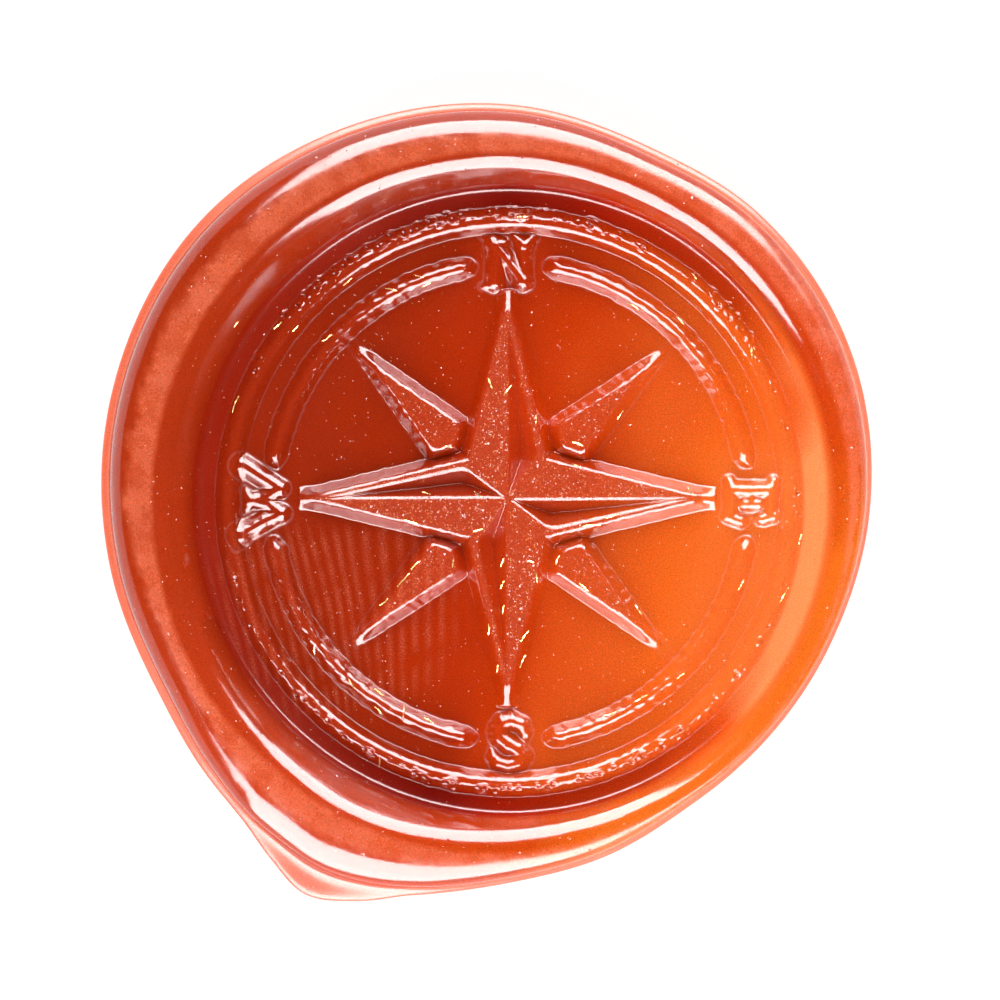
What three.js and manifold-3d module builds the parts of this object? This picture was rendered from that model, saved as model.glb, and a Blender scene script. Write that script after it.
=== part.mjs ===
// A loose sealing-wax seal that carries the impression of a compass-rose die.
// Millimetres. The origin is the middle of the impression on the flat back, +Z is up out of the
// face, and +Y points at the letter N.

import * as THREE from 'three';
import { ConvexGeometry } from 'three/addons/geometries/ConvexGeometry.js';
import { mergeVertices } from 'three/addons/utils/BufferGeometryUtils.js';
import Module from 'manifold-3d';

// ---- driving dimensions -------------------------------------------------------------------------

const DIE_RADIUS = 12.5;      // the round die that was pressed into the soft wax
const FLOOR_HEIGHT = 1.6;     // wax left under the flat of the die
const WALL_DRAFT = 0.08;      // how far the recess wall leans out as it rises

// The squeezed-out bead round the die. It is wider where more wax ran out.
const BEAD_CREST_SHARE = 0.52;    // where the crest lies between the die and the bead's edge
const BEAD_RISE = 0.75;           // crest height above the floor for a bead of no width
const BEAD_RISE_PER_WIDTH = 0.25; // and what each millimetre of width adds
const BEAD_SIDE_HEIGHT = 1.35;    // height at which the bead's outer side stands upright
const SKIRT_TOP = 0.5;            // the thin skirt that crept out over the paper
const SKIRT_EDGE = 0.22;
const SKIRT_TUCK = 0.05;

// The wax outline: angle in degrees from +X, outer radius of the skirt, outer radius of the bead.
// The tail where the pour ended is at about 242 degrees.
const OUTLINE = [
  [0, 14.65, 14.45],
  [25, 15.15, 14.85],
  [50, 15.45, 15.1],
  [68, 15.45, 15.1],
  [90, 16.1, 15.75],
  [115, 16.6, 16.2],
  [138, 16.95, 16.5],
  [165, 16.75, 16.35],
  [190, 16.45, 16.05],
  [208, 16.25, 15.85],
  [222, 16.6, 16.2],
  [230, 16.9, 16.5],
  [236, 17.45, 16.8],
  [242.5, 18.0, 16.95],
  [249, 17.4, 16.75],
  [256, 16.5, 16.2],
  [270, 15.5, 15.25],
  [285, 14.95, 14.7],
  [302, 14.35, 14.1],
  [335, 14.25, 14.05],
];

// Relief heights above the floor, and how far each foot spreads beyond its flat top.
const RING_HEIGHT = 0.5;
const RING_SPREAD = 0.32;
const LETTER_HEIGHT = 0.45;
const LETTER_SPREAD = 0.2;
const STAR_HEIGHT = 0.65;
const STAR_SPREAD = 0.36;

const OUTER_RING_RADIUS = 11.42;  // middle of the continuous ring
const OUTER_RING_TOP = 0.42;      // width of its flat top
const QUARTER_ARC_RADIUS = 9.68;  // middle of the four quarter arcs
const QUARTER_ARC_TOP = 0.4;
const QUARTER_ARC_GAP = 1.85;     // from a letter's axis to the end of the arc's flat top

const STAR_CENTRE = new THREE.Vector2(0, 0.14);
const STAR_TIP = 8.5;
const STAR_NOTCH = 1.62;          // the corner between two main arms, along X and along Y
const KITE_TIP = 8.45;            // the four slim diagonal arms
const KITE_TIP_HALF_WIDTH = 0.1;
const KITE_SHOULDER = 3.47;
const KITE_SHOULDER_HALF_WIDTH = 0.83;
const KITE_POINT = 3.01;

// Half of each main arm is sunk into a three-sided pit, inside a thin wall.
const PIT_TIP = 7.1;
const PIT_SHOULDER = [1.7, -1.2];
const PIT_ROOT = [0.32, -0.2];
const PIT_APEX = [1.75, -0.62];
const PIT_DEPTH = 0.5;

const LETTER_CENTRE = 9.75;       // from the middle of the impression to the middle of a letter

// Letter strokes, in each letter's own frame with its top up: [width, [x, y], [x, y], ...].
const LETTERS = {
  N: [
    [0.22, [-0.6, -0.86], [-0.6, 0.84]],
    [0.22, [-0.62, 0.84], [0.6, -0.86]],
    [0.2, [0.6, -0.8], [0.6, 0.86]],
    [0.16, [-0.98, 0.88], [-0.5, 0.88]],
    [0.16, [-0.98, -0.9], [-0.28, -0.9]],
    [0.16, [0.28, 0.9], [0.98, 0.9]],
  ],
  E: [
    [0.26, [-0.42, -0.92], [-0.42, 0.92]],
    [0.16, [-0.82, 0.94], [0.72, 0.94]],
    [0.16, [-0.82, -0.94], [0.72, -0.94]],
    [0.16, [-0.42, 0], [0.26, 0]],
    [0.2, [0.26, -0.2], [0.26, 0.2]],
    [0.2, [0.74, 0.56], [0.74, 0.94]],
    [0.2, [0.74, -0.94], [0.74, -0.56]],
  ],
  S: [
    [0.22, [0.5, 0.58], [0.4, 0.82], [0, 0.96], [-0.42, 0.76], [-0.44, 0.38], [0, 0.05],
      [0.44, -0.36], [0.42, -0.76], [0, -0.96], [-0.42, -0.82], [-0.52, -0.56]],
    [0.18, [0.5, 0.46], [0.5, 0.92]],
    [0.18, [-0.52, -0.92], [-0.52, -0.46]],
  ],
  W: [
    [0.28, [-1.62, 0.98], [-0.62, -0.92]],
    [0.18, [-0.62, -0.92], [-0.05, 0.5]],
    [0.18, [0.05, 0.5], [0.62, -0.92]],
    [0.28, [0.62, -0.92], [1.62, 0.98]],
    [0.2, [-1.95, 1.02], [-1.25, 1.02]],
    [0.2, [1.25, 1.02], [1.95, 1.02]],
    [0.18, [-0.3, 0.56], [0.3, 0.56]],
  ],
};
const LETTER_TURN = { N: 0, E: -90, S: 180, W: 90 };
const UPRIGHT_LETTERS = ['S'];    // the S is cut the right way up to read from the front

// Slivers of metal leaf in the wax skin: [x, y, length, heading in degrees from +X].
const SLIVER_WIDTH = 0.11;
const SLIVER_THICKNESS = 0.04;
const SLIVER_SINK = 0.015;
const SLIVERS = [
  // on the quarter arcs
  [-6.4, -7.4, 0.57, 123],
  [-5.3, -7.8, 0.54, 129],
  [-5.3, -8.5, 0.48, 105],
  [-4.3, -8.6, 0.66, 88],
  [-3.3, -8.9, 0.5, 150],
  [-7.9, -6.0, 0.48, 58],
  [-6.6, 8.9, 0.46, 48],
  [-7.4, 6.6, 0.48, 17],
  [-4.8, 8.55, 0.5, 170],
  [-3.7, 9.1, 0.42, 164],
  [-3.4, 8.75, 0.44, 43],
  [5.0, 7.9, 0.5, 150],
  [6.9, 7.3, 0.46, 116],
  [5.3, -8.0, 0.7, 30],
  [4.1, -8.6, 0.6, 20],
  [6.9, -7.1, 0.42, 32],
  [9.35, -3.4, 0.5, 42],
  // on the continuous ring and outside it
  [-8.7, 7.0, 0.36, 40],
  [-9.4, 7.1, 0.42, 20],
  [-11.1, 7.15, 0.3, 50],
  [-11.1, 3.9, 0.75, 62],
  [0.5, 11.5, 0.4, 4],
  [9.8, 6.0, 0.5, 96],
  [7.5, 9.1, 0.3, 75],
  [11.1, -3.8, 0.7, 42],
  [11.75, -1.55, 0.42, 65],
  [-5.3, -10.6, 0.42, 70],
  // on the north arm
  [-0.8, 4.75, 0.5, 110],
  [-0.1, 4.5, 0.52, 52],
  [1.05, 3.3, 0.36, 95],
  // on the east arm
  [2.7, 1.45, 0.36, 160],
  [3.3, -1.0, 0.75, 6],
  [4.15, -0.62, 0.58, 16],
  [7.3, 0.4, 0.4, 120],
  // on the south arm
  [-0.3, -2.5, 0.4, 50],
  [-0.3, -3.4, 0.36, 46],
  [-0.25, -4.4, 0.4, 70],
  [-0.85, -5.2, 0.46, 60],
  [-0.5, -6.8, 0.34, 45],
  [0.85, -2.45, 0.32, 165],
  [1.1, -3.1, 0.42, 92],
  [0.6, -5.5, 0.6, 55],
  [0.5, -6.5, 0.55, 45],
  // on the west arm
  [-1.3, -1.2, 0.45, 16],
  [-1.3, 0.25, 0.38, 145],
  [-3.4, 0.3, 0.38, 150],
  [-4.0, -0.85, 0.6, 165],
  // on the diagonal arms
  [-2.45, 2.2, 0.36, 170],
  [2.75, 2.3, 0.5, 160],
  [4.45, 3.5, 0.44, 65],
  [-2.3, -2.5, 0.42, 80],
  [-3.8, -2.6, 0.55, 26],
  [-4.3, -3.2, 0.75, 32],
  [-5.1, -4.1, 0.45, 12],
  [1.95, -2.4, 0.4, 60],
  [3.0, -3.5, 0.5, 140],
  [5.2, -4.4, 0.48, 104],
];

// ---- colours ------------------------------------------------------------------------------------

const WAX = { color: 0xc8401a, roughness: 0.22, metalness: 0 };
const GILT = { color: 0xe3c873, roughness: 0.25, metalness: 1 };

// ---- solids -------------------------------------------------------------------------------------

const wasm = await Module();
wasm.setup();

const degrees = Math.PI / 180;

// A closed three.js geometry as a solid for joining and cutting.
function toSolid(geometry) {
  const bare = geometry.clone();
  bare.deleteAttribute('normal');
  bare.deleteAttribute('uv');
  const merged = mergeVertices(bare, 1e-5);
  return new wasm.Manifold(new wasm.Mesh({
    numProp: 3,
    vertProperties: Float32Array.from(merged.attributes.position.array),
    triVerts: Uint32Array.from(merged.index.array),
  }));
}

// A solid back as a three.js geometry.
function toGeometry(solid) {
  const { vertProperties, triVerts } = solid.getMesh();
  const geometry = new THREE.BufferGeometry();
  geometry.setAttribute('position', new THREE.BufferAttribute(vertProperties, 3));
  geometry.setIndex(new THREE.BufferAttribute(triVerts, 1));
  geometry.computeVertexNormals();
  return geometry;
}

// A flat-topped relief: its outline is the flat top, and its sides spread towards the floor.
function raised(outline, height, spread, curveSegments = 12) {
  const root = 0.3;
  const geometry = new THREE.ExtrudeGeometry(outline, {
    depth: root,
    bevelEnabled: true,
    bevelThickness: height,
    bevelSize: spread,
    bevelSegments: 1,
    curveSegments,
  });
  return geometry.translate(0, 0, FLOOR_HEIGHT - root);
}

// ---- the wax blank: skirt, bead, recess wall and floor ------------------------------------------

// One column of the outline table at any angle, as a smooth closed curve through its points.
function outlineRadius(angle, column) {
  const count = OUTLINE.length;
  const turn = ((angle % 360) + 360) % 360;
  let i = count - 1;
  while (OUTLINE[i][0] > turn) i -= 1;
  const at = (k) => {
    const lap = Math.floor(k / count);
    const row = OUTLINE[k - lap * count];
    return [row[0] + 360 * lap, row[column]];
  };
  const [a0, r0] = at(i - 1);
  const [a1, r1] = at(i);
  const [a2, r2] = at(i + 1);
  const [a3, r3] = at(i + 2);
  const span = a2 - a1;
  const t = (turn - a1) / span;
  const slope1 = (r2 - r0) / (a2 - a0) * span;
  const slope2 = (r3 - r1) / (a3 - a1) * span;
  return (2 * t ** 3 - 3 * t ** 2 + 1) * r1 + (t ** 3 - 2 * t ** 2 + t) * slope1
    + (3 * t ** 2 - 2 * t ** 3) * r2 + (t ** 3 - t ** 2) * slope2;
}

// The wax cut along one direction: [radius, height] from the back's rim to the foot of the recess.
function beadSection(angle) {
  const rim = outlineRadius(angle, 1);
  const edge = outlineRadius(angle, 2);
  const width = edge - DIE_RADIUS;
  const crest = DIE_RADIUS + BEAD_CREST_SHARE * width;
  const top = FLOOR_HEIGHT + BEAD_RISE + BEAD_RISE_PER_WIDTH * width;
  const lip = DIE_RADIUS + WALL_DRAFT;
  const lipHeight = FLOOR_HEIGHT + 0.25;
  const section = [
    [rim - SKIRT_TUCK, 0],
    [rim, SKIRT_EDGE],
    [edge + 0.04, SKIRT_TOP],
  ];
  const steps = 5;
  for (let k = 0; k <= steps; k += 1) {
    const turn = (k / steps) * Math.PI / 2;
    section.push([
      crest + (edge - crest) * Math.cos(turn),
      BEAD_SIDE_HEIGHT + (top - BEAD_SIDE_HEIGHT) * Math.sin(turn),
    ]);
  }
  for (let k = 1; k <= steps; k += 1) {
    const turn = (k / steps) * Math.PI / 2;
    section.push([
      crest - (crest - lip) * Math.sin(turn),
      lipHeight + (top - lipHeight) * Math.cos(turn),
    ]);
  }
  section.push([DIE_RADIUS, FLOOR_HEIGHT]);
  return section;
}

function waxBlank(columns) {
  const positions = [];
  const rows = beadSection(0).length;
  for (let column = 0; column < columns; column += 1) {
    const angle = (column / columns) * 360;
    for (const [radius, height] of beadSection(angle)) {
      positions.push(
        radius * Math.cos(angle * degrees),
        radius * Math.sin(angle * degrees),
        height,
      );
    }
  }
  const backMiddle = columns * rows;
  const floorMiddle = backMiddle + 1;
  positions.push(0, 0, 0);
  positions.push(0, 0, FLOOR_HEIGHT);

  const triangles = [];
  for (let column = 0; column < columns; column += 1) {
    const here = column * rows;
    const next = ((column + 1) % columns) * rows;
    for (let row = 0; row + 1 < rows; row += 1) {
      triangles.push(here + row, next + row, next + row + 1);
      triangles.push(here + row, next + row + 1, here + row + 1);
    }
    triangles.push(backMiddle, next, here);
    triangles.push(floorMiddle, here + rows - 1, next + rows - 1);
  }
  const geometry = new THREE.BufferGeometry();
  geometry.setAttribute('position', new THREE.Float32BufferAttribute(positions, 3));
  geometry.setIndex(triangles);
  return geometry;
}

// ---- the impression -----------------------------------------------------------------------------

function continuousRing() {
  const outline = new THREE.Shape();
  outline.absarc(0, 0, OUTER_RING_RADIUS + OUTER_RING_TOP / 2, 0, 2 * Math.PI);
  const hole = new THREE.Path();
  hole.absarc(0, 0, OUTER_RING_RADIUS - OUTER_RING_TOP / 2, 0, 2 * Math.PI, true);
  outline.holes.push(hole);
  return raised(outline, RING_HEIGHT, RING_SPREAD, 96);
}

function quarterArc(quarter) {
  const start = Math.asin(QUARTER_ARC_GAP / QUARTER_ARC_RADIUS);
  const end = Math.PI / 2 - start;
  const half = QUARTER_ARC_TOP / 2;
  const outline = new THREE.Shape();
  outline.absarc(0, 0, QUARTER_ARC_RADIUS + half, start, end);
  outline.absarc(0, 0, QUARTER_ARC_RADIUS - half, end, start, true);
  return raised(outline, RING_HEIGHT, RING_SPREAD, 18).rotateZ(quarter * Math.PI / 2);
}

// A stroke as a ribbon of even width along straight pieces, with square ends.
function strokeOutline(width, points) {
  const path = points.map(([x, y]) => new THREE.Vector2(x, y));
  const sides = path.map((point, i) => {
    const before = path[Math.max(i - 1, 0)];
    const after = path[Math.min(i + 1, path.length - 1)];
    const along = after.clone().sub(before).normalize();
    return new THREE.Vector2(-along.y, along.x).multiplyScalar(width / 2);
  });
  const left = path.map((point, i) => point.clone().add(sides[i]));
  const right = path.map((point, i) => point.clone().sub(sides[i]));
  return new THREE.Shape([...right, ...left.reverse()]);
}

function letterSolids(name) {
  const turn = LETTER_TURN[name] * degrees;
  const faceTurn = UPRIGHT_LETTERS.includes(name) ? 0 : turn;
  return LETTERS[name].map(([width, ...points]) => {
    const stroke = raised(strokeOutline(width, points), LETTER_HEIGHT, LETTER_SPREAD);
    stroke.rotateZ(faceTurn);
    stroke.translate(-LETTER_CENTRE * Math.sin(turn), LETTER_CENTRE * Math.cos(turn), 0);
    return toSolid(stroke);
  });
}

function mainStar() {
  const corners = [];
  for (let arm = 0; arm < 4; arm += 1) {
    const turn = arm * Math.PI / 2;
    corners.push(new THREE.Vector2(STAR_TIP, 0).rotateAround(new THREE.Vector2(), turn));
    corners.push(new THREE.Vector2(STAR_NOTCH, STAR_NOTCH).rotateAround(new THREE.Vector2(), turn));
  }
  return raised(new THREE.Shape(corners), STAR_HEIGHT, STAR_SPREAD)
    .translate(STAR_CENTRE.x, STAR_CENTRE.y, 0);
}

function diagonalKite(quarter) {
  const outline = new THREE.Shape([
    new THREE.Vector2(KITE_POINT, 0),
    new THREE.Vector2(KITE_SHOULDER, -KITE_SHOULDER_HALF_WIDTH),
    new THREE.Vector2(KITE_TIP, -KITE_TIP_HALF_WIDTH),
    new THREE.Vector2(KITE_TIP, KITE_TIP_HALF_WIDTH),
    new THREE.Vector2(KITE_SHOULDER, KITE_SHOULDER_HALF_WIDTH),
  ]);
  return raised(outline, STAR_HEIGHT, STAR_SPREAD)
    .rotateZ(Math.PI / 4 + quarter * Math.PI / 2)
    .translate(STAR_CENTRE.x, STAR_CENTRE.y, 0);
}

// The sunk half of one main arm, run on above the arm so that it cuts clean.
function armPit(quarter) {
  const top = FLOOR_HEIGHT + STAR_HEIGHT;
  const apex = new THREE.Vector3(...PIT_APEX, top - PIT_DEPTH);
  const rim = [[PIT_TIP, 0], PIT_SHOULDER, PIT_ROOT];
  const corners = rim.map(([x, y]) => new THREE.Vector3(x, y, top).sub(apex)
    .multiplyScalar(1.2).add(apex));
  return new ConvexGeometry([...corners, apex])
    .rotateZ(quarter * Math.PI / 2)
    .translate(STAR_CENTRE.x, STAR_CENTRE.y, 0);
}

function waxBody() {
  const quarters = [0, 1, 2, 3];
  let solid = toSolid(waxBlank(144)).add(toSolid(continuousRing())).add(toSolid(mainStar()));
  for (const quarter of quarters) {
    solid = solid.add(toSolid(quarterArc(quarter))).add(toSolid(diagonalKite(quarter)));
  }
  for (const name of Object.keys(LETTERS)) {
    for (const stroke of letterSolids(name)) {
      solid = solid.add(stroke);
    }
  }
  for (const quarter of quarters) {
    solid = solid.subtract(toSolid(armPit(quarter)));
  }
  const mesh = new THREE.Mesh(toGeometry(solid), new THREE.MeshStandardMaterial(WAX));
  mesh.name = 'wax_body';
  return mesh;
}

// ---- the slivers of metal leaf ------------------------------------------------------------------

// A thin blade with a pointed end at each side and a blunt middle.
function sliverGeometry(length) {
  const half = length / 2;
  const shoulder = half * 0.6;
  const side = SLIVER_WIDTH / 2;
  const outline = new THREE.Shape([
    new THREE.Vector2(-half, 0),
    new THREE.Vector2(-shoulder, -side),
    new THREE.Vector2(shoulder, -side),
    new THREE.Vector2(half, 0),
    new THREE.Vector2(shoulder, side),
    new THREE.Vector2(-shoulder, side),
  ]);
  return new THREE.ExtrudeGeometry(outline, { depth: SLIVER_THICKNESS, bevelEnabled: false });
}

// Lays a sliver on the wax at its place, flat against the skin and sunk a little into it.
function giltSliver([x, y, length, heading], index, wax) {
  const above = 10;
  const ray = new THREE.Raycaster(new THREE.Vector3(x, y, above), new THREE.Vector3(0, 0, -1));
  const [touch] = ray.intersectObject(wax);
  const normal = touch.face.normal;
  const towards = new THREE.Vector3(Math.cos(heading * degrees), Math.sin(heading * degrees), 0);
  const across = new THREE.Vector3().crossVectors(normal, towards).normalize();
  const along = new THREE.Vector3().crossVectors(across, normal);

  const mesh = new THREE.Mesh(sliverGeometry(length), new THREE.MeshStandardMaterial(GILT));
  mesh.name = `gilt_sliver_${String(index + 1).padStart(2, '0')}`;
  mesh.quaternion.setFromRotationMatrix(new THREE.Matrix4().makeBasis(along, across, normal));
  mesh.position.copy(touch.point).addScaledVector(normal, -SLIVER_SINK);
  return mesh;
}

// ---- the seal -----------------------------------------------------------------------------------

const seal = new THREE.Group();
const wax = waxBody();
wax.updateMatrixWorld();
seal.add(wax);

const leaf = new THREE.Group();
SLIVERS.forEach((place, index) => leaf.add(giltSliver(place, index, wax)));
seal.add(leaf);

export default seal;
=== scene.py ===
"""The looks of a sealing-wax seal with a compass-rose impression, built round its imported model."""

import math

import bpy
import numpy as np
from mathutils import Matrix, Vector
from mathutils.bvhtree import BVHTree


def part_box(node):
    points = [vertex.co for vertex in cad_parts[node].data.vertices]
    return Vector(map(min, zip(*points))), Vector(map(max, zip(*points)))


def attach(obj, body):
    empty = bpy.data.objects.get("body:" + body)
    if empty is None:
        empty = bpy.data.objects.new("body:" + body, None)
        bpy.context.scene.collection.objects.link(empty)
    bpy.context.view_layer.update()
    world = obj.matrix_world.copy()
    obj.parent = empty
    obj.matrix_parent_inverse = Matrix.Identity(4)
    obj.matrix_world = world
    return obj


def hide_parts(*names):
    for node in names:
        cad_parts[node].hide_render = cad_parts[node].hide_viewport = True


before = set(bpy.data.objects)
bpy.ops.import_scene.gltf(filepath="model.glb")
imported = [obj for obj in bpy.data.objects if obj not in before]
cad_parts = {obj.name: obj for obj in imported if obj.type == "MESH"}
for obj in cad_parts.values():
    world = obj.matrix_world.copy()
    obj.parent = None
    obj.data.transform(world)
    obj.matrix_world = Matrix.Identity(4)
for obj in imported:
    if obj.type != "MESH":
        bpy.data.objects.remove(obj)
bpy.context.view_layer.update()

MM = 0.001
TAU = 2 * math.pi
wax_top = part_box("wax_body")[1][2]

# ---- the stage: camera, floor and soft studio light ---------------------------------------------

scene = bpy.context.scene
scene.view_settings.view_transform = "Standard"

SEEN_WIDTH = 40.6 * MM
SEEN_CENTRE = (-0.4 * MM, 0.04 * MM)
CAMERA_HEIGHT = 1.0
SENSOR_WIDTH = 36

# Two softboxes lean in, one past the top of the seal and one past its foot. Each is a pair of lights,
# so that the gloss and the body of the wax are lit by amounts of their own.
FAR, NEAR = 1, -1
GLOSS_RADIANCE, BODY_RADIANCE = 22, 5
SOFTBOX_FOOT, SOFTBOX_HEAD = (0.32, 0.004), (0.2, 0.256)

# The strength of the pale room: on the body of things, as the camera sees it, and in the gloss.
ROOM_FILL, ROOM_SEEN, ROOM_IN_GLOSS = 0.45, 1.0, 0.03

camera_data = bpy.data.cameras.new("camera")
camera_data.sensor_width = SENSOR_WIDTH
camera_data.lens = SENSOR_WIDTH * CAMERA_HEIGHT / SEEN_WIDTH
camera = bpy.data.objects.new("camera", camera_data)
camera.location = (*SEEN_CENTRE, CAMERA_HEIGHT)
scene.collection.objects.link(camera)
scene.camera = camera


def floor_plane():
    half = 1.5
    below = -0.02 * MM
    corners = [(-half, -half, below), (half, -half, below), (half, half, below), (-half, half, below)]
    mesh = bpy.data.meshes.new("floor")
    mesh.from_pydata(corners, [], [(0, 1, 2, 3)])
    plane = bpy.data.objects.new("floor", mesh)
    scene.collection.objects.link(plane)
    paper = bpy.data.materials.new("white_paper")
    paper.use_nodes = True
    shader = paper.node_tree.nodes["Principled BSDF"]
    shader.inputs["Base Color"].default_value = (0.9, 0.9, 0.91, 1)
    shader.inputs["Roughness"].default_value = 0.9
    shader.inputs["Specular IOR Level"].default_value = 0.1
    shader.inputs["Emission Color"].default_value = (1, 1, 1, 1)
    shader.inputs["Emission Strength"].default_value = 0.3
    mesh.materials.append(paper)


def softbox(name, side, middle, width, shiny):
    """A panel that leans in from the +Y or -Y side, lighting either the gloss or the body of things."""
    radiance = GLOSS_RADIANCE if shiny else BODY_RADIANCE
    (foot_out, foot_up), (head_out, head_up) = SOFTBOX_FOOT, SOFTBOX_HEAD
    run, rise = foot_out - head_out, head_up - foot_up
    data = bpy.data.lights.new(name, "AREA")
    data.shape = "RECTANGLE"
    data.size = width
    data.size_y = math.hypot(run, rise)
    data.energy = radiance * math.pi * data.size * data.size_y
    lamp = bpy.data.objects.new(name, data)
    lamp.location = (middle, side * (foot_out + head_out) / 2, (foot_up + head_up) / 2)
    lamp.rotation_euler = (-side * math.atan2(rise, run), 0, 0)
    lamp.visible_glossy = shiny
    lamp.visible_diffuse = not shiny
    lamp.visible_camera = False
    scene.collection.objects.link(lamp)


def pale_room():
    """White walls to the eye, even fill for the body of things, and next to nothing in the gloss."""
    world = bpy.data.worlds.new("room")
    scene.world = world
    world.use_nodes = True
    nodes, links = world.node_tree.nodes, world.node_tree.links
    background = nodes["Background"]
    path = nodes.new("ShaderNodeLightPath")
    level = ROOM_FILL
    for ray, wanted in (("Is Camera Ray", ROOM_SEEN), ("Is Glossy Ray", ROOM_IN_GLOSS)):
        step = nodes.new("ShaderNodeMath")
        step.operation = "MULTIPLY_ADD"
        links.new(path.outputs[ray], step.inputs[0])
        step.inputs[1].default_value = wanted - ROOM_FILL
        if isinstance(level, float):
            step.inputs[2].default_value = level
        else:
            links.new(level, step.inputs[2])
        level = step.outputs[0]
    links.new(level, background.inputs["Strength"])
    background.inputs["Color"].default_value = (1, 1, 1, 1)


floor_plane()
pale_room()
softbox("far_softbox_gloss", FAR, 0.073, 0.426, True)
softbox("far_softbox_body", FAR, 0.03, 0.34, False)
softbox("near_softbox_gloss", NEAR, -0.083, 0.526, True)
softbox("near_softbox_body", NEAR, -0.083, 0.526, False)

# ---- driving dimensions of the wax, in millimetres ----------------------------------------------

DIE_RADIUS = 12.5
FLOOR_HEIGHT = 1.6
LIP_RADIUS, LIP_HEIGHT = 12.87, 0.42
BEAD_CREST_OUT, BEAD_CREST_PER_WIDTH = 0.8, 0.33
BEAD_RISE, BEAD_RISE_PER_WIDTH = 0.75, 0.25
BEAD_INNER_ROUND = 1.28
BEAD_SHOULDER_TURN = math.radians(45)
BEAD_TOP_FROM = 1.8           # the bead's ups and downs and its dull band are above this height
WALL_FROM, WALL_TO = (12.3, 12.45), 12.8    # where the recess wall's dullness sets in, and its end

# The bead's outer shoulder: angle in degrees, radius of its round, and reach of its steep edge.
SHOULDER = np.array([
    (0, 0.9, 0.3), (45, 0.8, 0.25), (68, 1.0, 0.3), (90, 1.22, 0.37), (120, 1.3, 0.4), (150, 1.4, 0.4),
    (180, 1.4, 0.4), (210, 1.5, 0.4), (225, 2.0, 0.25), (240, 2.26, 0.15), (252, 1.9, 0.2),
    (262, 1.3, 0.25), (275, 1.0, 0.25), (300, 0.8, 0.25), (335, 0.8, 0.3), (360, 0.9, 0.3),
])

# The wax outline: angle in degrees, outer radius of the skirt, outer radius of the bead.
OUTLINE = np.array([
    (0, 14.65, 14.45),
    (25, 15.15, 14.85),
    (50, 15.45, 15.1),
    (68, 15.45, 15.1),
    (90, 16.1, 15.75),
    (115, 16.6, 16.2),
    (138, 16.95, 16.5),
    (165, 16.75, 16.35),
    (190, 16.45, 16.05),
    (208, 16.25, 15.85),
    (222, 16.6, 16.2),
    (230, 16.9, 16.5),
    (236, 17.45, 16.6),
    (242.5, 18.0, 16.7),
    (249, 17.4, 16.5),
    (256, 16.5, 16.1),
    (270, 15.5, 15.25),
    (285, 14.95, 14.7),
    (302, 14.35, 14.1),
    (335, 14.25, 14.05),
])

# The dull band on the bead: angle in degrees, inner edge, reach outwards.
FROST = np.array([
    (0, 13.64, 0.5), (20, 13.7, 1.2), (42, 13.75, 1.3), (60, 13.85, 0.9), (90, 14.05, 0.85),
    (120, 14.25, 1.2), (150, 14.4, 1.25), (180, 14.41, 1.15), (203, 14.41, 0.6), (213, 14.43, 0.65),
    (228, 14.3, 1.2), (240, 14.35, 1.25), (255, 14.3, 0.9), (270, 14.15, 0.7), (300, 13.75, 0.4),
    (330, 13.6, 0.25), (360, 13.64, 0.5),
])

RING_MIDDLE = (0.0, -0.05)
RING_HEIGHT, RING_SPREAD = 0.5, 0.34
LETTER_HEIGHT, LETTER_SLOPE = 0.42, 1.28
LETTER_ROUND = {"N": 0.24, "E": 0.17, "S": 0.2, "W": 0.25}
STAR_HEIGHT, STAR_SPREAD, KITE_SPREAD = 0.65, 0.4, 0.38
OUTER_RING_RADIUS, OUTER_RING_TOP = 11.42, 0.38
QUARTER_ARC_RADIUS, QUARTER_ARC_TOP, QUARTER_ARC_GAP = 9.68, 0.3, 2.05
STAR_CENTRE = (-0.1, 0.11)
STAR_TIP, STAR_NOTCH, STAR_PARALLEL = 8.25, 1.6, 7.9
KITE_OUTLINE = ((3.01, 0.0), (3.47, 0.81), (8.06, 0.0))
KITE_AZIMUTHS = (43.0, 135.2, 223.2, 315.8)
STAR_FALL, KITE_FALL = (7.55, 8.42), (7.6, 9.1)      # where the points begin and cease to fall away
STAR_FALL_SHARE, STAR_BLUNT_END = 0.55, 0.08          # how much the ridge falls, then its blunt end
STAR_RIDGE_ROUND, KITE_RIDGE_ROUND = 0.1, 0.16
PIT_RIM = ((7.4, 0.0), (0.12, -0.03), (1.75, -1.27))
PIT_APEX, PIT_DEPTH = (1.75, -0.62), 0.66
LETTER_CENTRE = 9.75
SLIVER_WIDTH = 0.052

# How dull the feet of the relief are, and between which shares of its height.
RING_DULLNESS, ARC_DULLNESS, LETTER_DULLNESS, KITE_DULLNESS = 0.4, 0.5, 0.6, 0.3
PIT_DULLNESS, WALL_DULLNESS = 0.25, 0.2
FOOT_BEGINS, FOOT_ENDS = (-0.28, -0.1), (0.16, 0.04)
MILLED_EDGE = (0.05, -0.12)

# The burst bubbles on the ring: how many, where round the ring they crowd, and how far they scatter.
NICK_COUNT, NICK_CROWDS, NICK_SCATTER = 260, (92, 285), 36
NICK_RADII, NICK_SIZES = (0.14, 0.42), (0.07, 0.13)

# The rings of the wax mesh over the impression, closer together where the die's ring and letters are.
WAX_COLUMNS = 960
FACE_RADII = np.concatenate([
    np.arange(0.08, 1.0, 0.08),
    np.arange(1.0, 8.2, 0.045),
    np.arange(8.2, 12.05, 0.033),
    np.arange(12.05, DIE_RADIUS, 0.06),
    [DIE_RADIUS],
])

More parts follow.
